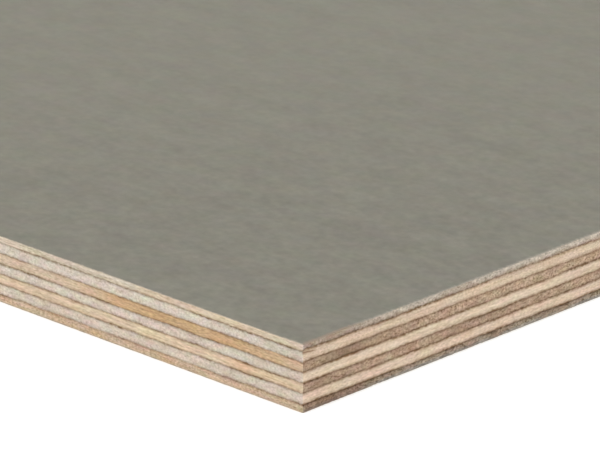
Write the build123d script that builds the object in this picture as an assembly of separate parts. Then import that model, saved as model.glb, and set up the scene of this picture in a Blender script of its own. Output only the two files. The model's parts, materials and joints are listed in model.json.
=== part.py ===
"""Film-faced plywood sheet, lying flat: seven veneers laid crosswise and pressed between two resin films.

Millimetres. The origin is the middle of the underside, X runs along the face grain and Z is up.
"""

import os

from build123d import *

# Sheet, as sold: its length runs along the grain of the face veneer.
sheet_length = 2500.0
sheet_width = 1250.0

# Layers. Sanding has thinned the two outer veneers, and the back one less than the face.
film_thickness = 0.10
face_veneer_thickness = 0.80
cross_veneer_thickness = 1.53
long_veneer_thickness = 1.23
back_veneer_thickness = 0.95

# The lay-up from the underside to the face. Veneers are numbered from the face, and every second one
# has its grain across the sheet, so the lay-up is balanced about the middle veneer.
layup = [
    ("film_bottom", film_thickness),
    ("veneer_7_back", back_veneer_thickness),
    ("veneer_6_cross", cross_veneer_thickness),
    ("veneer_5_long", long_veneer_thickness),
    ("veneer_4_cross", cross_veneer_thickness),
    ("veneer_3_long", long_veneer_thickness),
    ("veneer_2_cross", cross_veneer_thickness),
    ("veneer_1_face", face_veneer_thickness),
    ("film_top", film_thickness),
]


def layer(name, underside, thickness):
    """One layer, trimmed square with the rest of the sheet, on top of the layer below it."""
    outline = Plane.XY.offset(underside) * Rectangle(sheet_length, sheet_width)
    solid = extrude(outline, amount=thickness)
    solid.label = name
    return solid


def press(layers):
    """The layers stacked face to face from the floor up, as the press leaves them."""
    sheet = []
    underside = 0.0
    for name, thickness in layers:
        sheet.append(layer(name, underside, thickness))
        underside += thickness
    return sheet


os.makedirs("parts", exist_ok=True)
for piece in press(layup):
    export_step(piece, f"parts/{piece.label}.step")
    print(piece.label, piece.bounding_box().size)
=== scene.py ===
"""Looks, light and camera for the film-faced plywood sheet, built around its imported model.

Metres, Z up, in the model's own frame. Each layer of the sheet is one closed mesh in the place of its
solid, with the uneven glue lines, the grain and the frayed film edge of a sawn sheet. The photographed
corner is the one at +X and -Y: the sheet's front runs left from it in the picture, and its end right.
"""

import json
import math

import bpy
import numpy as np
from mathutils import Matrix, Vector


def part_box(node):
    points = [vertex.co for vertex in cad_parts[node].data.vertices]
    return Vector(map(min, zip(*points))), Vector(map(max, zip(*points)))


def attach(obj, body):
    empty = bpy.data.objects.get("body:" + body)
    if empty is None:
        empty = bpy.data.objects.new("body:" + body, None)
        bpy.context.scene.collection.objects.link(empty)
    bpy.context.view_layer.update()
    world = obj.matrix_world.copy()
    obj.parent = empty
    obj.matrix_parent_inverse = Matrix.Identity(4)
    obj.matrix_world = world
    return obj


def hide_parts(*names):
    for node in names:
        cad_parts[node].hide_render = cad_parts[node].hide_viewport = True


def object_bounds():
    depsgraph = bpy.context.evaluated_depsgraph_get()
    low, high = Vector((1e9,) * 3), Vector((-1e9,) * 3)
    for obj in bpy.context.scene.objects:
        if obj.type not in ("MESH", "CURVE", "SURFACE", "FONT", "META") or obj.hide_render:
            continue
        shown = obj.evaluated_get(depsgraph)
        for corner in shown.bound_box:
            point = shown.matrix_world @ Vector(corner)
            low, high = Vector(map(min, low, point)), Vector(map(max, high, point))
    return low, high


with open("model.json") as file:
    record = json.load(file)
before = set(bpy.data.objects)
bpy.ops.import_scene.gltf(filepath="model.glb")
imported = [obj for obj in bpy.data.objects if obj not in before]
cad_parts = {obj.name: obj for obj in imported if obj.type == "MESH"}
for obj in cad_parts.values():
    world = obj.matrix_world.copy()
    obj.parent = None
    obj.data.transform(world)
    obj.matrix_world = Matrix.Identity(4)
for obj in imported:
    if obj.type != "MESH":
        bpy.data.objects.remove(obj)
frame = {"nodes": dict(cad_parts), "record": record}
cad_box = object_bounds()

MM = 0.001
low, high = cad_box
length = high.x - low.x
width = high.y - low.y
photo_corner = Vector((high.x, low.y, high.z))

# The layers from the underside to the face, with the material slot of each.
layers = sorted(frame["nodes"], key=lambda node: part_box(node)[0].z)
slot_of = {part["node"]: part["material_slot"] for part in frame["record"]["subparts"]}
veneers = [node for node in layers if slot_of[node] != "film"]
films = [node for node in layers if slot_of[node] == "film"]
back_veneer = veneers[0]
face_veneer = veneers[-1]
split_veneer = "veneer_2_cross"

# Camera of the photo, found by fitting the four visible edges of the sheet.
view_azimuth = math.radians(43.686)
view_elevation = math.radians(20.569)
view_roll = math.radians(0.306)
view_distance = 737.66 * MM
view_near = view_distance / 10
view_far = 1000.0
corner_right = 0.382 * MM
corner_up = -14.497 * MM
focal_pixels = 6092.7
picture_width = 600
photo_softness = 1.6
sensor_width = 36.0

# Studio: a white table lit from below, a white surround and a wide sun for each photographed edge.
# The table lies just below the sheet, so that they share no plane.
floor_reach = 400.0
floor_drop = 0.05 * MM
floor_colour = (0.85, 0.85, 0.85, 1.0)
floor_roughness = 0.9
floor_specular = 0.1
floor_glow = 0.42
white = (1.0, 1.0, 1.0, 1.0)
surround_strength = 0.5
sun_azimuths = {"key": math.radians(-5), "fill": math.radians(92)}
sun_elevation = math.radians(55)
sun_spread = math.radians(50)
sun_strength = 0.83

# Stations round the rim: close together at each corner, and for longer by the photographed one. From
# ring to ring of a face their number halves, down to the grid in its middle.
fine_reach = 60 * MM
corner_reach = 3 * MM
fine_step = 0.2 * MM
coarse_step = 2.0 * MM
halvings = 7
long_side_segments = 12
short_side_segments = 7
first_ring_inset = 2.5 * MM
ring_growth = 2.2

# First seed of each kind of ripple round the rim, to which each layer adds its own number.
glue_line_seed = 1
glue_patch_seed = 21
stain_seed = 40
photo_stain_seed = 60
relief_seed = 80
film_seed = 100
film_seed_step = 10

# Sawn edge of the veneers. The rows of points up each edge are shares of the veneer's height.
edge_inset = 0.02 * MM
edge_relief = 0.008 * MM
relief_lengths = (0.8 * MM, 6 * MM)
groove_depth = 0.03 * MM
groove_share = 0.05
worn_corner = 0.07 * MM
worn_corner_reach = 0.15 * MM
lower_row_shares = (0, 0.06, 0.22, 0.4)
middle_row_shares = (0.6, 0.78)
upper_row_shares = (0.94, 1)
# Split by the corner: its lip, the depth at which its painted shade is full, and that shade's share on
# the flake.
split_lip_share = 0.06
split_shade_depth = 0.1 * MM
flake_shade_share = 0.22
sharp_angle = math.radians(40)

# Course of the glue lines. A squeeze is the room that a veneer sawn along its grain takes from the next
# one: on the long sides and on the ends.
glue_wave = 0.026 * MM
glue_wave_lengths = (2 * MM, 40 * MM)
side_squeeze = 0.045 * MM
end_squeeze = -0.015 * MM
squeeze_onset = 2 * MM
climb_onset = 0.5 * MM

# How far some glue lines lie off their place on the long sides and on the ends, by the veneer below, and
# how high some climb by the photographed corner, with the reach of the climb.
glue_offset = {
    "veneer_3_long": (0, 0.045 * MM),
    "veneer_4_cross": (-0.03 * MM, 0),
    "veneer_6_cross": (0, -0.035 * MM),
}
corner_climb = {
    "veneer_2_cross": (0.25 * MM, 4.0 * MM),
    "veneer_3_long": (0.20 * MM, 6.0 * MM),
}

# How dark each glue line is on the long sides and on the ends, by the veneer below, and how patchy.
glue_darkness = {
    "veneer_2_cross": (0.65, 0.79),
    "veneer_3_long": (0.60, 0.63),
    "veneer_4_cross": (0.70, 0.81),
    "veneer_5_long": (0.65, 0.74),
    "veneer_6_cross": (0.69, 0.81),
    "veneer_7_back": (0.56, 0.83),
}
glue_patchiness = 0.1
glue_patch_lengths = (4 * MM, 60 * MM)
glue_limits = (0.25, 1.1)

# Where the photo shows a glue line rise or sink: place past the corner, spread and rise, in millimetres.
line_drift = {
    "veneer_2_cross": [
        (-40, 8, 0.07), (-16, 6, -0.05), (12, 2.5, 0.05), (15, 2.5, -0.08), (27, 4, -0.06),
    ],
    "veneer_3_long": [
        (1.2, 0.8, -0.05), (3.2, 1.8, 0.06), (11, 2.5, -0.04), (37, 3, 0.06),
    ],
    "veneer_4_cross": [
        (-33, 8, -0.06), (8.5, 3.5, 0.12), (20, 4, -0.08), (44, 5, -0.08),
    ],
    "veneer_5_long": [
        (-21, 3, 0.05), (-12, 2, 0.06), (-9.5, 1.5, -0.08), (-4.5, 2.2, -0.09), (3, 7, 0.1),
        (37, 4, -0.08),
    ],
    "veneer_6_cross": [
        (-11, 3, 0.05), (-2.5, 1.5, 0.05), (0, 1.8, -0.07), (2, 6, 0.06), (32, 3, -0.05), (42, 5, 0.05),
    ],
    "veneer_7_back": [
        (-40, 6, 0.05), (-2.5, 2, -0.07), (3.5, 2.5, 0.06), (20, 3.5, -0.1), (32, 3, 0.06),
    ],
}

# Where it shows a glue line darken or fade: place and spread likewise, and by how much.
glue_drift = {
    "veneer_2_cross": [
        (-30, 5, -0.15), (-15, 6, 0.2), (-3, 1.5, 0.27), (-0.8, 0.8, -0.25), (1.4, 0.8, -0.16),
        (4, 2, 0.17), (9.5, 1.5, 0.24), (20, 2.5, 0.18), (41, 6, -0.15),
    ],
    "veneer_3_long": [
        (-44, 6, -0.22), (-14, 4, 0.17), (-7.2, 1.8, -0.3), (1.5, 0.8, 0.25), (42, 7, -0.22),
    ],
    "veneer_4_cross": [
        (-10, 5, -0.17), (2, 2.5, -0.17), (8.5, 3.5, 0.36), (20, 3, 0.18), (44, 5, -0.16),
    ],
    "veneer_5_long": [
        (-9.7, 0.5, 0.75), (-5, 1.2, 0.22), (-1.5, 1.2, -0.24),
    ],
    "veneer_6_cross": [
        (-44, 4, -0.2), (-28, 2, -0.2), (-9.5, 2.5, 0.28), (-1.8, 2.2, -0.38), (3.5, 2, -0.17),
        (28, 2, -0.2), (37, 3.5, 0.22),
    ],
    "veneer_7_back": [
        (-28, 2, -0.2), (-5, 2.5, -0.16), (-0.8, 1, 0.3), (0.5, 0.8, -0.28), (12.5, 1.5, 0.28),
    ],
}

# Where it shows a veneer stained or pale: place and spread likewise, and by what share of the stain.
stain_patches = {
    "veneer_1_face": [
        (-40, 9, -0.3), (-26, 5, 0.3), (-15, 6, 0.45), (-7, 3, 0.15), (-2, 4, 0.25),
        (1, 2.2, 0.42), (5.2, 1.8, 0.42), (8.6, 3.9, 0.38), (15.8, 3.4, 0.22), (27, 4, 0.3),
    ],
    "veneer_2_cross": [
        (-1.5, 5, 0.16),
    ],
    "veneer_3_long": [
        (-29, 7, 0.75), (-14, 16, 0.95), (0.5, 4, 0.25), (7, 3.6, 0.48), (15, 8, 0.28), (30, 6, -0.1),
    ],
    "veneer_4_cross": [
        (-1.5, 5, 0.16), (15, 3, 0.08), (27, 3, -0.1),
    ],
    "veneer_5_long": [
        (-46, 4, -0.2), (-27, 3, 0.14), (-15, 3, 0.08), (-10.5, 3, 0.45), (-3, 2, -0.1),
        (2, 6, 0.35), (20, 3, -0.1), (26.5, 3, 0.35), (36, 5, 0.28),
    ],
    "veneer_6_cross": [
        (-14, 5, 0.12), (-5, 3, 0.09), (24, 6, -0.1),
    ],
    "veneer_7_back": [
        (-7, 4, 0.14), (4, 6, 0.85), (9, 2, 0.12), (11.5, 2, 0.45), (18, 5, -0.18),
        (31, 4, 0.25), (40, 4, -0.14), (46, 3, 0.3),
    ],
}
photo_stain_reach = (90 * MM, 60 * MM)
photo_stain_sway = 0.06
back_stain_sway = 0.14
photo_stain_lengths = (4 * MM, 20 * MM)

# Stain away from the photographed corner: its usual share and how far that sways.
usual_stain = {"long_veneer": (0.18, 0.16), "cross_veneer": (0.05, 0.05)}
stain_lengths = (8 * MM, 90 * MM)

# Film: how worn its cut and its rim are on the long sides and on the ends, and what the corners of each
# add. The rows of its edge are shares of its thickness, and then of their band on the map.
film_row_shares = (0, 0.7, 1)
film_rim_rounding = 0.02 * MM
film_map_shares = (0, 0.12, 0.25, 1)
worn_reach = 1.0 * MM
side_cut_wear = 0.84
side_corner_cut_wear = 0.14
end_cut_wear = 0.9
side_rim_wear = 0.5
side_corner_rim_wear = 0.22
end_rim_wear = 0.74
end_corner_rim_wear = 0.42
side_corner_reach = (6 * MM, 1 * MM)
end_corner_reach = (13 * MM, 7 * MM)

# Map for baking the materials: what shows fills it, and the faces that are glued shut get a narrow band.
map_name = "OFBake"
map_pixels = 1024
map_margin = 1 / map_pixels
least_strip = 8 / map_pixels
lower_glued_band = (0.0, 0.025)
upper_glued_band = (0.025, 0.05)
film_edge_band = (0.05, 0.23)
film_face_band = (0.23, 1.0)
veneer_edge_band = (0.05, 1.0)

# Colours as the photo shows them, in display values from 0 to 255. The tint of the glue is linear.
sawn_along = {
    "veneer_1_face": (214, 200, 179),
    "veneer_2_cross": (211, 188, 164),
    "veneer_3_long": (208, 187, 162),
    "veneer_4_cross": (214, 193, 169),
    "veneer_5_long": (216, 193, 165),
    "veneer_6_cross": (215, 192, 169),
    "veneer_7_back": (199, 174, 148),
}
sawn_across = {
    "veneer_1_face": (183, 168, 151),
    "veneer_2_cross": (211, 198, 183),
    "veneer_3_long": (179, 154, 129),
    "veneer_4_cross": (209, 195, 179),
    "veneer_5_long": (175, 150, 126),
    "veneer_6_cross": (209, 195, 178),
    "veneer_7_back": (155, 138, 119),
}
along_stain = (198, 164, 124)
across_stain = (132, 105, 83)
film_colour = (139, 136, 123)
worn_side = (206, 191, 171)
worn_end = (177, 168, 155)
worn_end_corner = (158, 141, 124)
fuzzy_face = (188, 177, 162)
smeared_back = (146, 141, 132)
darkened_back = (112, 98, 90)
# Painted shade inside the split and on the flake lifted over it.
split_shadow = (148, 114, 88)
glue_tint = (0.30, 0.22, 0.135, 1.0)

# Patterns of the wood, with their size in millimetres along the grain, across it and in height, and the
# sizes that differ from veneer to veneer.
wood_patterns = {
    "fibre": dict(size=(0.7, 0.34, 0.17)),
    "band": dict(size=(9, 3, 0.30)),
    "cloud": dict(size=(30, 12, 6)),
    "ray": dict(size=(3, 0.36, 0.24)),
    "patch": dict(size=(12, 1.8, 0.6), detail=3),
    "pore": dict(size=(5, 0.34, 0.22), detail=1),
}
own_sizes = {
    "veneer_2_cross": {"fibre": (0.4, 0.34, 0.17)},
    "veneer_3_long": {"ray": (3, 0.36, 0.34)},
    "veneer_4_cross": {"fibre": (0.5, 0.34, 0.17)},
    "veneer_5_long": {"ray": (3, 0.40, 0.20)},
    "veneer_6_cross": {"fibre": (0.5, 0.34, 0.17)},
    "veneer_7_back": {"fibre": (0.4, 0.34, 0.17), "ray": (3, 0.50, 0.18)},
}
wood_hue_size = (3.5, 2.2, 0.9)
wood_seed_step = 7.3

# How strongly the patterns show where a veneer is sawn along its grain.
side_fibre_weight = 1.05
side_cloud_weight = 0.12
band_weight = {"long_veneer": 0.75, "cross_veneer": 0.58}
fibre_contrast = {
    "veneer_2_cross": 1.1,
    "veneer_3_long": 1.3,
    "veneer_4_cross": 0.9,
    "veneer_7_back": 1.6,
}

# How strongly they show where it is sawn across, and how much of that is left where it is stained.
end_fibre_weight = 0.9
end_ray_weight = 0.9
end_patch_weight = 0.7
end_cloud_weight = 0.16
pore_weight = 0.3
pore_onset = dict(start=0.54, end=0.70)
poreless_shade = 1.04
end_contrast = {
    "veneer_1_face": 1.25,
    "veneer_3_long": 1.65,
    "veneer_5_long": 1.5,
    "veneer_7_back": 2.1,
}
cross_end_contrast = 0.72
stained_contrast = {"veneer_3_long": 0.55, "veneer_5_long": 0.6}
stained_onset = dict(start=0.24, end=0.42)
middle_end_shade = 0.95

# How far a shade moves red, green and blue: darker wood is browner.
warmth = (0.92, 1.04, 1.2)

# How far the hue of each kind of veneer sways, where it is sawn along the grain and where across.
hue_sway = {"long_veneer": (0.27, 0.27), "cross_veneer": (0.20, 0.29)}
back_hue_sway = (0.42, 0.30)

# Marks along the films: ranges of the distance from the film in millimetres, and of the stain.
face_rim_shade = dict(start=0.15, end=0.5, first=1.06, last=0.97)
fuzz_reach = dict(start=0.6, end=0.1)
fuzz_stain = dict(start=0.5, end=0.05)
darkened_back_reach = dict(start=0.6, end=0.1, last=0.7)
darkened_back_stain = dict(start=0.45, end=0.8)
smear_reach = dict(start=0.55, end=0.1)
smear_stain = dict(start=1.2, end=0.4)

# How turned to the grain a cut face is, from sawn along it to sawn across it.
grain_turn = dict(start=0.5, end=0.8)

# Glue soaked into the wood: how far from its line, in millimetres, and the patterns that make it uneven.
side_glue_spread = {"long_veneer": 0.155, "cross_veneer": 0.22}
end_glue_spread = 0.20
glue_stray = dict(size=(0.5, 0.5, 0.3), shift=3.1)
glue_stray_reach = 0.22
glue_breaks = dict(size=(0.5, 0.5, 0.5), roughness=0.5, shift=8.7)
glue_break_gain = 2.1
glue_break_floor = -0.05

wood_roughness = 0.68
wood_roughness_sway = 0.15
wood_specular = 0.25
wood_bump = 0.03 * MM
wood_bump_strength = 0.6

# Patterns of the film, with their size in millimetres along the sheet, across it and in height, and how
# strongly they show. The fine ones are crisper by the corners of the sheet, where a painted shade also
# makes it darker, lighter further in.
film_patterns = {
    "streak": dict(size=(14, 5, 5), detail=3),
    "blotch": dict(size=(6, 4.5, 4.5), shift=2.0),
    "mottle": dict(size=(1.5, 1.3, 1.3), detail=3, roughness=0.6, shift=4.0),
    "cloud": dict(size=(160, 70, 70), detail=3, shift=9.0),
    "sheet_wide": dict(size=(900, 160, 160), shift=13.0),
    "resin": dict(size=(0.9, 0.7, 0.7), shift=17.0),
    "fibres": dict(size=(1.2, 0.3, 1.2), shift=25.0),
}
fine_film_weights = {"blotch": 0.22, "mottle": 0.40}
slow_film_weights = {"streak": 0.14, "cloud": 0.06, "sheet_wide": 0.08}
film_crispness = dict(start=25.0, end=125.0, first=1.36, last=0.75)
film_corner_painted_shade = dict(start=30.0, end=130.0, first=0.955, last=1.03)
film_hue = dict(size=(4, 3, 3), amount=0.12, shift=21.0)
fibre_wear = 0.9
wear_onset = dict(start=0.85, end=1.5)

film_roughness = 0.42
film_roughness_sway = 0.12
film_specular = 0.3
film_bump = 0.01 * MM
film_bump_strength = 0.5


def linear(colour):
    """A display colour as the linear colour that a shader takes."""
    shares = np.array(colour) / 255
    bent = np.where(shares <= 0.04045, shares / 12.92, ((shares + 0.055) / 1.055) ** 2.4)
    return (*bent, 1.0)


# Rim of the sheet

normals = np.array([(0, -1), (1, 0), (0, 1), (-1, 0)], float)


def side_shares(side, reach, segments):
    """Shares of one side, from its first corner on, at which its stations stand."""
    samples = 100_001
    even = np.linspace(0, reach, samples)
    to_photo = {0: reach - even, 1: even}.get(side, np.full(samples, reach))
    fine = (np.minimum(even, reach - even) < corner_reach) | (to_photo < fine_reach)
    density = 1 / np.where(fine, fine_step, coarse_step)
    passed = np.cumsum(density)
    passed = (passed - passed[0]) / (passed[-1] - passed[0])
    return np.interp(np.arange(segments) / segments, passed, even) / reach


def walk_rim():
    """Side, share of that side and run in metres of each station, and the whole run.

    The walk starts at the front's left corner and goes to the photographed one first.
    """
    sides, shares, runs = [], [], []
    run = 0.0
    for side in range(4):
        reach, segments = (length, long_side_segments) if side % 2 == 0 else (width, short_side_segments)
        share = side_shares(side, reach, segments * 2**halvings)
        sides.append(np.full(len(share), side))
        shares.append(share)
        runs.append(run + share * reach)
        run += reach
    return np.concatenate(sides), np.concatenate(shares), np.concatenate(runs), run


rim_side, rim_share, rim_run, rim_length = walk_rim()
stations = len(rim_run)
past_corner = rim_run - length  # from the photographed corner: the front is negative, the end positive
from_corner = np.where(rim_share < 0.5, rim_share, 1 - rim_share) * np.where(rim_side % 2, width, length)
at_end = rim_side % 2 == 1
outward = normals[rim_side]
outward[rim_share == 0] += normals[rim_side[rim_share == 0] - 1]


def rim_points(inset):
    """Each station on the sheet's outline, drawn in by a distance."""
    corners = np.array([
        (low.x + inset, low.y + inset),
        (high.x - inset, low.y + inset),
        (high.x - inset, high.y - inset),
        (low.x + inset, high.y - inset),
    ])
    start = corners[rim_side]
    return start + rim_share[:, None] * (corners[(rim_side + 1) % 4] - start)


def ripple(shortest, longest, seed):
    """A smooth random line round the rim, of spread 1, made of waves that close on themselves."""
    draw = np.random.default_rng(seed)
    waves = 40
    lengths = shortest * (longest / shortest) ** draw.random(waves)
    counts = np.maximum(np.round(rim_length / lengths), 1)
    phases = draw.random(waves) * 2 * np.pi
    line = sum(np.sin(2 * np.pi * n * rim_run / rim_length + p) for n, p in zip(counts, phases))
    return line / math.sqrt(waves / 2)


def ease(value, start, end):
    """0 up to start and 1 from end on, with a smooth rise between."""
    share = np.clip((value - start) / (end - start), 0, 1)
    return share * share * (3 - 2 * share)


def bump_at(place, spread):
    """1 at a place past the photographed corner, falling to 0 about a spread away, in millimetres."""
    return np.exp(-(((past_corner / MM - place) / spread) ** 2))


def drift(bumps):
    """The sum of bumps, each given as its place, spread and amount."""
    return sum((amount * bump_at(place, spread) for place, spread, amount in bumps), np.zeros(stations))


# Glue lines

def long_grained(node, end):
    """True where a veneer shows its grain lengthways on the cut face."""
    return (slot_of[node] == "long_veneer") != end


def glue_height(below, above, seed):
    """Height of the glue line between two veneers round the rim."""
    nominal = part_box(below)[1].z
    shift = np.where(at_end, long_grained(above, True), long_grained(above, False)) * 2.0 - 1.0
    near = ease(from_corner, 0, squeeze_onset)
    squeeze = np.where(at_end, end_squeeze, side_squeeze)
    on_side, on_end = glue_offset.get(below, (0, 0))
    offset = near * (np.where(at_end, on_end, on_side) - shift * squeeze)
    wave = glue_wave * ripple(*glue_wave_lengths, seed)
    line = nominal + offset + wave + MM * drift(line_drift[below])
    if below in corner_climb:
        line += climb(*corner_climb[below])
    return line


def climb(rise, fade):
    """A glue line's climb towards the photographed corner on the end, where the veneers are torn."""
    return rise * ease(past_corner, 0, climb_onset) * np.exp(-np.maximum(past_corner, 0) / fade)


def glue_strength(below, seed):
    """Darkness of the glue line above a veneer round the rim."""
    on_side, on_end = glue_darkness[below]
    patchy = glue_patchiness * ripple(*glue_patch_lengths, seed)
    strength = np.clip(np.where(at_end, on_end, on_side) + patchy, *glue_limits)
    return strength + drift(glue_drift[below])


lines = {}
strengths = {}
for number, (below, above) in enumerate(zip(veneers, veneers[1:])):
    lines[below] = glue_height(below, above, glue_line_seed + number)
    strengths[below] = glue_strength(below, glue_patch_seed + number)


# Meshes of the layers

def cap_rings(nominal, line):
    """Points of the rings from a cap's rim to its middle, each with half the stations of the last."""
    rings = []
    inset = first_ring_inset
    for level in range(1, halvings + 1):
        stride = 2**level
        fade = 1 - level / halvings
        points = rim_points(inset)[::stride]
        heights = nominal + (line[::stride] - nominal) * fade
        rings.append(np.column_stack([points, heights]))
        inset *= ring_growth
    return rings


def ring_faces(outer, inner):
    """Faces between two rings of points, given as their numbers, that run round the same way."""
    after = np.roll(outer, -1)
    if len(outer) == len(inner):
        return np.column_stack([outer, after, np.roll(inner, -1), inner]).tolist()
    first, second, third = outer[::2], outer[1::2], after[1::2]
    following = np.roll(inner, -1)
    made = [
        np.column_stack([first, second, inner]),
        np.column_stack([second, following, inner]),
        np.column_stack([second, third, following]),
    ]
    return np.concatenate(made).tolist()


def middle_grid(ring, first_number, ring_points):
    """The grid of quads inside the last ring: its inner points and its faces."""
    across, deep = long_side_segments, short_side_segments
    numbers = np.zeros((deep + 1, across + 1), int)
    numbers[0] = ring[:across + 1]
    numbers[:, across] = ring[across:across + deep + 1]
    numbers[deep, ::-1] = ring[across + deep:2 * across + deep + 1]
    numbers[::-1, 0] = np.append(ring[2 * across + deep:], ring[0])
    inner = np.arange((deep - 1) * (across - 1)).reshape(deep - 1, across - 1)
    numbers[1:-1, 1:-1] = first_number + inner
    xs = ring_points[1:across, 0]
    ys = ring_points[across + 1:across + deep, 1]
    points = np.array([(x, y, ring_points[0, 2]) for y in ys for x in xs])
    quads = [numbers[:-1, :-1], numbers[:-1, 1:], numbers[1:, 1:], numbers[1:, :-1]]
    return points, np.stack(quads, -1).reshape(-1, 4).tolist()


def strip_count(band, height):
    """Into how many strips the rim is cut on the map, so that they fill a band and are not too thin."""
    share = band[1] - band[0]
    return int(min(math.sqrt(share * rim_length / height), share / least_strip))


def strip_places(band, strips, bottom, top):
    """Places on the map of one row of the wall's faces, in strips one above the other."""
    number = np.floor(rim_run / rim_length * strips)
    reach = rim_length / strips
    after = np.append(rim_run[1:], rim_length)
    longest = np.max(after - rim_run)
    near, far = ((run - number * reach) / (reach + longest) for run in (rim_run, after))
    rise = (band[1] - band[0]) / strips
    along = np.column_stack([near, far, far, near])
    up = np.column_stack([bottom, np.roll(bottom, -1), np.roll(top, -1), top])
    u = map_margin + (1 - 2 * map_margin) * along
    v = band[0] + number[:, None] * rise + map_margin + (rise - 2 * map_margin) * up
    return np.stack([u, v], -1).reshape(-1, 2)


def cap_places(band, points):
    """Places on the map of points on a cap, which has more room towards the photographed corner."""
    shares = np.abs(points[:, :2] - np.array(photo_corner)[:2]) / (length, width)
    bent = 2 * shares / (1 + shares)
    rise = band[1] - band[0]
    u = map_margin + (1 - 2 * map_margin) * bent[:, 0]
    v = band[0] + map_margin + (rise - 2 * map_margin) * bent[:, 1]
    return np.column_stack([u, v])


# What each point of a layer carries for its material, with how many numbers. Glue distances are in
# millimetres, first to the layer above and then to the one below. A cap counts as clear of both.
attribute_sizes = {
    "glue_distance": 3,
    "glue_strength": 3,
    "tone": 1,
    # painted shade in the split and on the flake over it
    "split": 1,
    "wear": 1,
    "worn_colour": 3,
}
clear_of_glue = np.array([(1.0, 1.0, 0.0)])


class Layer:
    """The mesh of one layer, gathered row by row and ring by ring."""

    def __init__(self, node):
        self.node = node
        self.points, self.faces, self.places = [], [], []
        self.values = {name: [] for name in attribute_sizes}
        self.count = 0

    def add(self, points, **values):
        """Adds points with their attribute values and gives their numbers."""
        self.points.append(points)
        for name, held in self.values.items():
            size = attribute_sizes[name]
            given = np.reshape(values.get(name, np.zeros(size)), (-1, size))
            held.append(np.broadcast_to(given, (len(points), size)))
        numbers = np.arange(len(points)) + self.count
        self.count += len(points)
        return numbers

    def wall(self, rows, shares, band, height):
        """Joins the rows of points that make up the edge, from the lowest to the highest."""
        strips = strip_count(band, height)
        for lower, upper, bottom, top in zip(rows, rows[1:], shares, shares[1:]):
            self.faces += ring_faces(lower, upper)
            self.places.append(strip_places(band, strips, bottom, top))

    def close(self, rim, nominal, line, tone, upward, band):
        """Closes one face of the layer, from its rim to its middle."""
        faces = []
        outer = rim
        for level, ring in enumerate(cap_rings(nominal, line), 1):
            inner = self.add(ring, tone=tone[::2**level], glue_distance=clear_of_glue)
            faces += ring_faces(outer, inner)
            outer = inner
        points, quads = middle_grid(outer, self.count, ring)
        self.add(points, glue_distance=clear_of_glue)
        faces += quads
        faces = faces if upward else [face[::-1] for face in faces]
        self.faces += faces
        self.places.append(cap_places(band, np.concatenate(self.points)[np.concatenate(faces)]))

    def make(self, material):
        """Makes the finished piece, in the place of its solid."""
        mesh = bpy.data.meshes.new(self.node)
        mesh.from_pydata(np.concatenate(self.points).tolist(), [], self.faces)
        for name, held in self.values.items():
            values = np.concatenate(held).astype(np.float32)
            kind, field = ("FLOAT_VECTOR", "vector") if values.shape[1] == 3 else ("FLOAT", "value")
            mesh.attributes.new(name, kind, "POINT").data.foreach_set(field, values.ravel())
        places = np.concatenate(self.places).astype(np.float32)
        mesh.uv_layers.new(name=map_name).uv.foreach_set("vector", places.ravel())
        mesh.shade_smooth()
        mesh.set_sharp_from_angle(angle=sharp_angle)
        mesh.materials.append(material)
        piece = bpy.data.objects.new(self.node + "_sawn", mesh)
        bpy.context.scene.collection.objects.link(piece)
        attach(piece, "root")
        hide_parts(self.node)


def corner_wear():
    """How far the four upright corners are rubbed back."""
    return worn_corner * np.exp(-from_corner / worn_corner_reach)


def split_path(line_low, line_high):
    """The split by the photographed corner: the shares of height where it runs and ends, and its depth.

    Away from that corner it is closed, and its rows run level.
    """
    below_face = 1.04 * MM
    slope = 0.14
    foot_below_face = 1.44 * MM
    opening = 0.14 * MM
    start = (-0.3 * MM, 0.1 * MM)
    end = (2.5 * MM, 1.5 * MM)
    near_reach = (6 * MM, 3 * MM)
    level_path_share = 0.72
    level_foot_share = 0.6
    path_limits = (0.5, 0.86)
    least_foot_share = 0.45

    path = (high.z - below_face - slope * np.maximum(past_corner, 0) - line_low) / (line_high - line_low)
    foot = (high.z - foot_below_face - line_low) / (line_high - line_low)
    near = ease(np.abs(past_corner), *near_reach)
    path = np.clip(near * path + (1 - near) * level_path_share, *path_limits)
    foot = np.clip(near * foot + (1 - near) * level_foot_share, least_foot_share, path - split_lip_share)
    depth = opening * ease(past_corner, *start) * ease(past_corner, *end)
    return path, foot, depth


def veneer_tone(node, number):
    """Stain along the rim of a veneer: its own slow drift, and the photo's patches by the corner."""
    usual, swing = usual_stain[slot_of[node]]
    tone = usual + swing * ripple(*stain_lengths, stain_seed + number)
    sway = back_stain_sway if node == back_veneer else photo_stain_sway
    shown = sway * ripple(*photo_stain_lengths, photo_stain_seed + number)
    for place, spread, amount in stain_patches[node]:
        same_face = np.sign(past_corner) == np.sign(place)
        shown = shown + amount * same_face * bump_at(place, spread)
    near = ease(np.abs(past_corner), *photo_stain_reach)
    return np.clip(near * shown + (1 - near) * tone, 0, 1)


def level_rows(shares, split=0.0):
    """Rows of points at shares of a veneer's height, with no depth and one value of the split's painted
    shade.
    """
    return [(np.full(stations, share), 0.0, split) for share in shares]


def veneer_rows(node, line_low, line_high):
    """Rows of points up a veneer's edge: share of its height, depth, and painted shade of the split."""
    if node != split_veneer:
        return level_rows(lower_row_shares + middle_row_shares + upper_row_shares)
    path, foot, depth = split_path(line_low, line_high)
    opened = ease(depth, 0, split_shade_depth)
    flake_shade = flake_shade_share * opened
    split_rows = [(foot, 0.0, 0.0), (path, depth, opened), (path + split_lip_share, 0.0, flake_shade)]
    return level_rows(lower_row_shares) + split_rows + level_rows(upper_row_shares, flake_shade)


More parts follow.
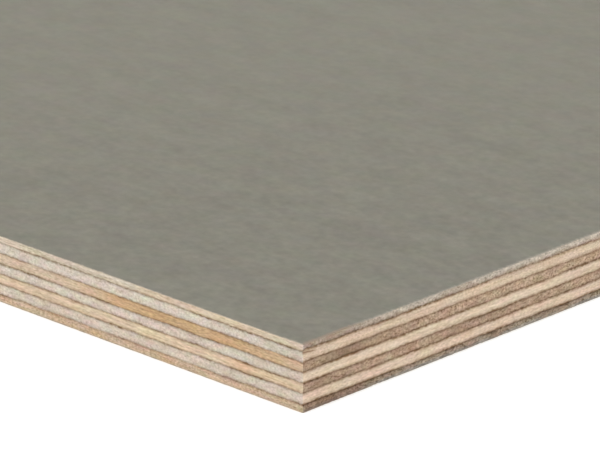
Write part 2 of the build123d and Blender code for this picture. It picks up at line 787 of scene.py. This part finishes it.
def veneer(node, material):
    """One veneer between its two glue lines, with a fine groove along each."""
    number = veneers.index(node)
    below = veneers[number - 1] if number > 0 else None
    outer_low, outer_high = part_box(node)
    unglued = np.zeros(stations)
    line_low = lines.get(below, np.full(stations, outer_low.z))
    line_high = lines.get(node, np.full(stations, outer_high.z))
    glue = np.column_stack([strengths.get(node, unglued), strengths.get(below, unglued), unglued])
    tone = veneer_tone(node, number)
    relief = edge_relief * ripple(*relief_lengths, relief_seed + number)
    rows = veneer_rows(node, line_low, line_high)
    layer = Layer(node)
    rim = rim_points(0.0)
    numbers = []
    for share, depth, split in rows:
        groove = groove_depth * np.exp(-np.minimum(share, 1 - share) / groove_share)
        inset = edge_inset + relief + groove + depth + corner_wear()
        height = line_low + share * (line_high - line_low)
        points = np.column_stack([rim - outward * inset[:, None], height])
        gap = np.column_stack([line_high - height, height - line_low, np.zeros(stations)]) / MM
        numbers.append(layer.add(points, glue_distance=gap, glue_strength=glue, tone=tone, split=split))
    shares = [share for share, depth, split in rows]
    layer.wall(numbers, shares, veneer_edge_band, outer_high.z - outer_low.z)
    layer.close(numbers[-1], outer_high.z, line_high, tone, True, upper_glued_band)
    layer.close(numbers[0], outer_low.z, line_low, tone, False, lower_glued_band)
    layer.make(material)


def fray(seed):
    """How far the film's edge is chipped back: hardly on the long sides, raggedly on the ends."""
    chip_lengths = (0.9 * MM, 3 * MM)
    stretch_lengths = (4 * MM, 20 * MM)
    usual_chip = 0.7
    chip_sway = 0.3
    end_least = 0.05 * MM
    end_bite = 0.08 * MM
    end_limit = 2.2
    side_lengths = (1 * MM, 4 * MM)
    side_usual = 0.03 * MM
    side_bite = 0.01 * MM
    side_limits = (-1, 2)
    corner_chip = 0.04 * MM
    corner_clear = (0.5 * MM, 3 * MM)

    chips = np.abs(ripple(*chip_lengths, seed))
    ragged = chips * (usual_chip + chip_sway * ripple(*stretch_lengths, seed + 1))
    ends = end_least + end_bite * np.clip(ragged, 0, end_limit)
    sides = side_usual + side_bite * np.clip(ripple(*side_lengths, seed + 2), *side_limits)
    clear = ease(from_corner, *corner_clear)
    return np.where(at_end, clear * ends + (1 - clear) * corner_chip, sides)


def worn_colour(end_corner):
    """Colour of the worn film round the rim: pale, greyer on the ends and browner by their corners."""
    side, end, corner = (np.array(linear(c)[:3]) for c in (worn_side, worn_end, worn_end_corner))
    ends = end + end_corner[:, None] * (corner - end)
    return np.where(at_end[:, None], ends, side)


def film(node, material, seed):
    """One resin film, chipped back along its cut edge and worn pale there."""
    outer_low, outer_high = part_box(node)
    chipped = fray(seed) + corner_wear()
    side_corner = ease(from_corner, *side_corner_reach)
    end_corner = ease(from_corner, *end_corner_reach)
    cut = np.where(at_end, end_cut_wear, side_cut_wear + side_corner_cut_wear * side_corner)
    end_rim = end_rim_wear + end_corner_rim_wear * end_corner
    side_rim = side_rim_wear + side_corner_rim_wear * side_corner
    rim_worn = np.where(at_end, end_rim, side_rim)
    colour = worn_colour(end_corner)
    layer = Layer(node)
    rim = rim_points(0.0)
    numbers = []
    roundings = (0.0, 0.0, film_rim_rounding)
    for share, rounding, wear in zip(film_row_shares, roundings, (cut, cut, rim_worn)):
        height = np.full(stations, outer_low.z + share * (outer_high.z - outer_low.z))
        points = np.column_stack([rim - outward * (chipped + rounding)[:, None], height])
        numbers.append(layer.add(points, wear=wear, worn_colour=colour))
    sound = np.column_stack([rim_points(worn_reach), np.full(stations, outer_high.z)])
    numbers.append(layer.add(sound, worn_colour=colour))
    flat = np.zeros(stations)
    layer.wall(numbers, [flat + share for share in film_map_shares], film_edge_band, worn_reach)
    on_top = node == layers[-1]
    upper_band = film_face_band if on_top else upper_glued_band
    lower_band = lower_glued_band if on_top else film_face_band
    layer.close(numbers[-1], outer_high.z, flat + outer_high.z, flat, True, upper_band)
    layer.close(numbers[0], outer_low.z, flat + outer_low.z, flat, False, lower_band)
    layer.make(material)


# Materials

class Shader:
    """A material's node tree, with short ways to add the nodes that the finishes share."""

    def __init__(self, name):
        self.material = bpy.data.materials.new(name)
        self.material.use_nodes = True
        self.tree = self.material.node_tree
        self.surface = self.tree.nodes["Principled BSDF"]

    def add(self, kind, **settings):
        node = self.tree.nodes.new(kind)
        for name, value in settings.items():
            setattr(node, name, value)
        return node

    def put(self, socket, value):
        """Links a socket to another, or sets its value."""
        if isinstance(value, bpy.types.NodeSocket):
            self.tree.links.new(value, socket)
        else:
            socket.default_value = value

    def math(self, operation, *values):
        node = self.add("ShaderNodeMath", operation=operation)
        for socket, value in zip(node.inputs, values):
            self.put(socket, value)
        return node.outputs[0]

    def vector(self, operation, *values, output=0):
        node = self.add("ShaderNodeVectorMath", operation=operation)
        for socket, value in zip(node.inputs, values):
            self.put(socket, value)
        return node.outputs[output]

    def millimetres(self, swapped=False):
        """Place on the piece in millimetres, with X along the grain."""
        place = self.add("ShaderNodeTexCoord").outputs["Object"]
        place = self.vector("MULTIPLY", place, (1 / MM,) * 3)
        if not swapped:
            return place
        parts = self.split(place)
        joined = self.add("ShaderNodeCombineXYZ")
        for socket, value in zip(joined.inputs, (parts[1], parts[0], parts[2])):
            self.put(socket, value)
        return joined.outputs[0]

    def split(self, vector):
        node = self.add("ShaderNodeSeparateXYZ")
        self.put(node.inputs[0], vector)
        return node.outputs

    def noise(self, place, size, detail=2.0, roughness=0.55, shift=0.0, output="Fac"):
        """Cloudy noise from 0 to 1, with blotches of a size in millimetres along each axis."""
        node = self.add("ShaderNodeTexNoise")
        scaled = self.vector("MULTIPLY_ADD", place, tuple(1 / s for s in size), (shift, shift, shift))
        self.put(node.inputs["Vector"], scaled)
        self.put(node.inputs["Scale"], 1.0)
        self.put(node.inputs["Detail"], detail)
        self.put(node.inputs["Roughness"], roughness)
        return node.outputs[output]

    def hued(self, colour, place, size, amount, shift=0.0):
        """A colour whose red, green and blue each sway a little on their own."""
        cloud = self.noise(place, size, shift=shift, output="Color")
        offset = self.vector("SUBTRACT", cloud, (0.5, 0.5, 0.5))
        sway = self.vector("ADD", self.times(offset, amount), (1.0, 1.0, 1.0))
        return self.vector("MULTIPLY", colour, sway)

    def range(self, value, start, end, first=0.0, last=1.0):
        """A smooth rise from first to last as a value goes from start to end."""
        node = self.add("ShaderNodeMapRange", interpolation_type="SMOOTHSTEP")
        names = ("Value", "From Min", "From Max", "To Min", "To Max")
        for name, given in zip(names, (value, start, end, first, last)):
            self.put(node.inputs[name], given)
        return node.outputs["Result"]

    def sway(self, *parts):
        """1 plus each (noise, amount), with the noise counted from its middle."""
        total = 1.0
        for value, amount in parts:
            centred = self.math("SUBTRACT", value, 0.5)
            total = self.math("MULTIPLY_ADD", centred, amount, total)
        return total

    def mix(self, share, first, second, blend="MIX"):
        node = self.add("ShaderNodeMix", data_type="RGBA", blend_type=blend)
        colours = [socket for socket in node.inputs if socket.type == "RGBA"]
        self.put(node.inputs[0], share)
        self.put(colours[0], first)
        self.put(colours[1], second)
        return next(socket for socket in node.outputs if socket.type == "RGBA")

    def times(self, colour, value):
        """A colour made lighter or darker by a number."""
        node = self.add("ShaderNodeVectorMath", operation="SCALE")
        self.put(node.inputs[0], colour)
        self.put(node.inputs["Scale"], value)
        return node.outputs[0]

    def shaded(self, colour, shade):
        """A wood colour made lighter or darker about 1, browner where it is darker."""
        offset = self.math("SUBTRACT", shade, 1.0)
        factor = self.vector("MULTIPLY_ADD", offset, warmth, (1.0, 1.0, 1.0))
        return self.vector("MULTIPLY", colour, factor)

    def marked(self, colour, mark, shade, *shares):
        """A colour with another, shaded one over it, as far as all the shares let that show."""
        seen, *others = shares
        for share in others:
            seen = self.math("MULTIPLY", seen, share)
        return self.mix(seen, colour, self.times(linear(mark)[:3], shade))

    def attribute(self, name, output):
        return self.add("ShaderNodeAttribute", attribute_name=name).outputs[output]

    def bump(self, height, distance, strength):
        node = self.add("ShaderNodeBump")
        self.put(node.inputs["Height"], height)
        self.put(node.inputs["Distance"], distance)
        self.put(node.inputs["Strength"], strength)
        self.put(self.surface.inputs["Normal"], node.outputs["Normal"])

    def finish(self, colour, roughness, specular):
        """Gives the surface its colour, roughness and shine."""
        self.put(self.surface.inputs["Base Color"], colour)
        self.put(self.surface.inputs["Roughness"], roughness)
        self.put(self.surface.inputs["Specular IOR Level"], specular)


def wood_material(node):
    """Rotary-cut veneer: streaks where it is sawn along the grain, pores and rays where across."""
    slot = slot_of[node]
    crossed = slot == "cross_veneer"
    shader = Shader(node)
    place = shader.millimetres(swapped=crossed)
    seed = wood_seed_step * veneers.index(node)
    grain = grain_patterns(shader, place, node, seed)
    gaps = shader.split(shader.attribute("glue_distance", "Vector"))
    tone = shader.attribute("tone", "Fac")
    across = across_grain(shader, crossed)

    side_shade = shade_along(shader, node, grain, gaps)
    end_shade = shade_across(shader, node, grain, tone)
    side = shader.mix(tone, linear(sawn_along[node]), linear(along_stain))
    end = shader.mix(tone, linear(sawn_across[node]), linear(across_stain))
    wood = shader.mix(across, shader.shaded(side, side_shade), shader.shaded(end, end_shade))
    along_hue, across_hue = back_hue_sway if node == back_veneer else hue_sway[slot]
    hue = shader.math("MULTIPLY_ADD", across, across_hue - along_hue, along_hue)
    wood = shader.hued(wood, place, wood_hue_size, hue, shift=seed + len(grain))

    if node == face_veneer:
        below_film = shader.range(gaps[0], **fuzz_reach)
        unstained = shader.range(tone, **fuzz_stain)
        wood = shader.marked(wood, fuzzy_face, end_shade, below_film, across, unstained)
    if node == back_veneer:
        # The back veneer's end grain made darker just above the lower film, where it is stained.
        above_film = shader.range(gaps[1], **darkened_back_reach)
        stained = shader.range(tone, **darkened_back_stain)
        wood = shader.marked(wood, darkened_back, end_shade, above_film, across, stained)
        above_film = shader.range(gaps[1], **smear_reach)
        unstained = shader.range(shader.math("ADD", tone, grain["patch"]), **smear_stain)
        wood = shader.marked(wood, smeared_back, end_shade, above_film, across, unstained)
    wood = glued(shader, place, wood, across, slot)
    # Painted shade inside the split and on the flake lifted over it.
    wood = shader.mix(shader.attribute("split", "Fac"), wood, linear(split_shadow))

    rough = shader.math("MULTIPLY_ADD", grain["fibre"], wood_roughness_sway, wood_roughness)
    shader.finish(wood, rough, wood_specular)
    height = shader.math("MULTIPLY_ADD", across, grain["ray"], grain["fibre"])
    shader.bump(height, wood_bump, wood_bump_strength)
    return shader.material


def grain_patterns(shader, place, node, seed):
    """The patterns of a veneer's wood, by name."""
    patterns = {}
    for number, (name, settings) in enumerate(wood_patterns.items()):
        size = own_sizes.get(node, {}).get(name, settings["size"])
        patterns[name] = shader.noise(place, **(settings | {"size": size}), shift=seed + number)
    return patterns


def across_grain(shader, crossed):
    """0 where a veneer is sawn along its grain and 1 where it is sawn across."""
    grain_axis = (0.0, 1.0, 0.0) if crossed else (1.0, 0.0, 0.0)
    facing = shader.add("ShaderNodeNewGeometry").outputs["True Normal"]
    turned = shader.vector("DOT_PRODUCT", facing, grain_axis, output="Value")
    return shader.range(shader.math("ABSOLUTE", turned), **grain_turn)


def shade_along(shader, node, grain, gaps):
    """Shade of a veneer sawn along its grain: the face veneer is palest next to the film."""
    shade = shader.sway(
        (grain["fibre"], side_fibre_weight * fibre_contrast.get(node, 1.0)),
        (grain["band"], band_weight[slot_of[node]]),
        (grain["cloud"], side_cloud_weight),
    )
    if node == face_veneer:
        shade = shader.math("MULTIPLY", shade, shader.range(gaps[0], **face_rim_shade))
    return shade


def shade_across(shader, node, grain, tone):
    """Shade of a veneer sawn across its grain, with dark pores: in some it is calmer where stained."""
    coarse = end_contrast.get(node, cross_end_contrast)
    shade = shader.sway(
        (grain["fibre"], end_fibre_weight * coarse),
        (grain["ray"], end_ray_weight * coarse),
        (grain["patch"], end_patch_weight * coarse),
        (grain["cloud"], end_cloud_weight),
    )
    pores = shader.range(grain["pore"], **pore_onset)
    pore_shade = shader.math("MULTIPLY_ADD", pores, -pore_weight * coarse, poreless_shade)
    shade = shader.math("MULTIPLY", shade, pore_shade)
    if node in stained_contrast:
        kept = shader.range(tone, **stained_onset, first=1.0, last=stained_contrast[node])
        offset = shader.math("SUBTRACT", shade, middle_end_shade)
        shade = shader.math("MULTIPLY_ADD", offset, kept, middle_end_shade)
    return shade


def glued(shader, place, wood, across, slot):
    """Darkens a veneer along its glue lines, unevenly, as the glue has soaked into it."""
    stray = shader.math("SUBTRACT", shader.noise(place, **glue_stray), 0.5)
    breaks = shader.noise(place, **glue_breaks)
    breaks = shader.math("MULTIPLY_ADD", breaks, glue_break_gain, glue_break_floor)
    distance = shader.split(shader.attribute("glue_distance", "Vector"))
    strength = shader.split(shader.attribute("glue_strength", "Vector"))
    along_spread = side_glue_spread[slot]
    spread = shader.math("MULTIPLY_ADD", across, end_glue_spread - along_spread, along_spread)
    masks = []
    for index in range(2):
        gap = shader.math("MULTIPLY_ADD", stray, glue_stray_reach, distance[index])
        share = shader.math("POWER", shader.math("DIVIDE", gap, spread), 2.0)
        fall = shader.math("EXPONENT", shader.math("MULTIPLY", share, -1.0))
        masks.append(shader.math("MULTIPLY", fall, shader.math("MULTIPLY", strength[index], breaks)))
    mask = shader.math("MINIMUM", shader.math("MAXIMUM", *masks), 1.0)
    dark = shader.mix(1.0, wood, glue_tint, "MULTIPLY")
    return shader.mix(mask, wood, dark)


def film_material():
    """Grey resin film: satin, with the grain of the face veneer faintly showing through."""
    shader = Shader("film")
    place = shader.millimetres()
    patterns = {name: shader.noise(place, **settings) for name, settings in film_patterns.items()}
    corner = corner_distance(shader, place)
    crisp = shader.range(corner, **film_crispness)
    fine = shader.sway(*((patterns[name], weight) for name, weight in fine_film_weights.items()))
    fine = shader.math("SUBTRACT", shader.math("MULTIPLY", fine, crisp), crisp)
    slow = shader.sway(*((patterns[name], weight) for name, weight in slow_film_weights.items()))
    # Painted shade: the film darker towards the corners of the sheet and lighter further in.
    shade = shader.math("MULTIPLY", shader.math("ADD", fine, slow), shader.range(corner, **film_corner_painted_shade))
    grey = shader.hued(shader.times(linear(film_colour)[:3], shade), place, **film_hue)

    wear = shader.math("MULTIPLY_ADD", patterns["fibres"], fibre_wear, shader.attribute("wear", "Fac"))
    grey = shader.mix(shader.range(wear, **wear_onset), grey, shader.attribute("worn_colour", "Vector"))
    rough = shader.math("MULTIPLY_ADD", patterns["mottle"], film_roughness_sway, film_roughness)
    shader.finish(grey, rough, film_specular)
    height = shader.math("ADD", patterns["resin"], patterns["streak"])
    shader.bump(height, film_bump, film_bump_strength)
    return shader.material


def corner_distance(shader, place):
    """Millimetres from the nearest corner of the sheet."""
    parts = shader.split(place)
    from_end = shader.math("SUBTRACT", length / 2 / MM, shader.math("ABSOLUTE", parts[0]))
    from_side = shader.math("SUBTRACT", width / 2 / MM, shader.math("ABSOLUTE", parts[1]))
    squares = shader.math("MULTIPLY_ADD", from_end, from_end, shader.math("POWER", from_side, 2.0))
    return shader.math("SQRT", squares)


# Studio

def floor_material():
    """A white floor lit from below, as a product table is."""
    shader = Shader("floor")
    shader.finish(floor_colour, floor_roughness, floor_specular)
    shader.put(shader.surface.inputs["Emission Color"], white)
    shader.put(shader.surface.inputs["Emission Strength"], floor_glow)
    return shader.material


def add_floor():
    mesh = bpy.data.meshes.new("floor")
    signs = ((-1, -1), (1, -1), (1, 1), (-1, 1))
    corners = [(x * floor_reach, y * floor_reach, -floor_drop) for x, y in signs]
    mesh.from_pydata(corners, [], [(0, 1, 2, 3)])
    mesh.materials.append(floor_material())
    floor = bpy.data.objects.new("floor", mesh)
    bpy.context.scene.collection.objects.link(floor)


def towards(azimuth, elevation):
    """Direction from the sheet at an azimuth, counted from -Y to +X, and an elevation."""
    level = math.cos(elevation)
    return Vector((math.sin(azimuth) * level, -math.cos(azimuth) * level, math.sin(elevation)))


def add_sun(name, azimuth):
    """A wide soft light from a direction."""
    data = bpy.data.lights.new(name, "SUN")
    data.energy = sun_strength
    data.angle = sun_spread
    lamp = bpy.data.objects.new(name, data)
    lamp.rotation_euler = towards(azimuth, sun_elevation).to_track_quat("Z", "Y").to_euler()
    bpy.context.scene.collection.objects.link(lamp)


def add_light():
    world = bpy.data.worlds.new("studio")
    world.use_nodes = True
    surround = world.node_tree.nodes["Background"]
    surround.inputs["Color"].default_value = white
    surround.inputs["Strength"].default_value = surround_strength
    bpy.context.scene.world = world
    for name, azimuth in sun_azimuths.items():
        add_sun(name, azimuth)
    bpy.context.scene.view_settings.view_transform = "Standard"
    bpy.context.scene.cycles.filter_width = photo_softness


def add_camera():
    data = bpy.data.cameras.new("camera")
    data.sensor_width = sensor_width
    data.lens = focal_pixels * sensor_width / picture_width
    data.clip_start = view_near
    data.clip_end = view_far
    back = towards(view_azimuth, view_elevation)
    level = Vector((math.cos(view_azimuth), math.sin(view_azimuth), 0))
    upright = back.cross(level)
    right = math.cos(view_roll) * level + math.sin(view_roll) * upright
    up = math.cos(view_roll) * upright - math.sin(view_roll) * level
    place = photo_corner - corner_right * right - corner_up * up + view_distance * back
    camera = bpy.data.objects.new("camera", data)
    camera.matrix_world = Matrix.Translation(place) @ Matrix((right, up, back)).transposed().to_4x4()
    bpy.context.scene.collection.objects.link(camera)
    bpy.context.scene.camera = camera


for node in veneers:
    veneer(node, wood_material(node))
film_finish = film_material()
for number, node in enumerate(films):
    film(node, film_finish, film_seed + film_seed_step * number)
add_floor()
add_light()
add_camera()
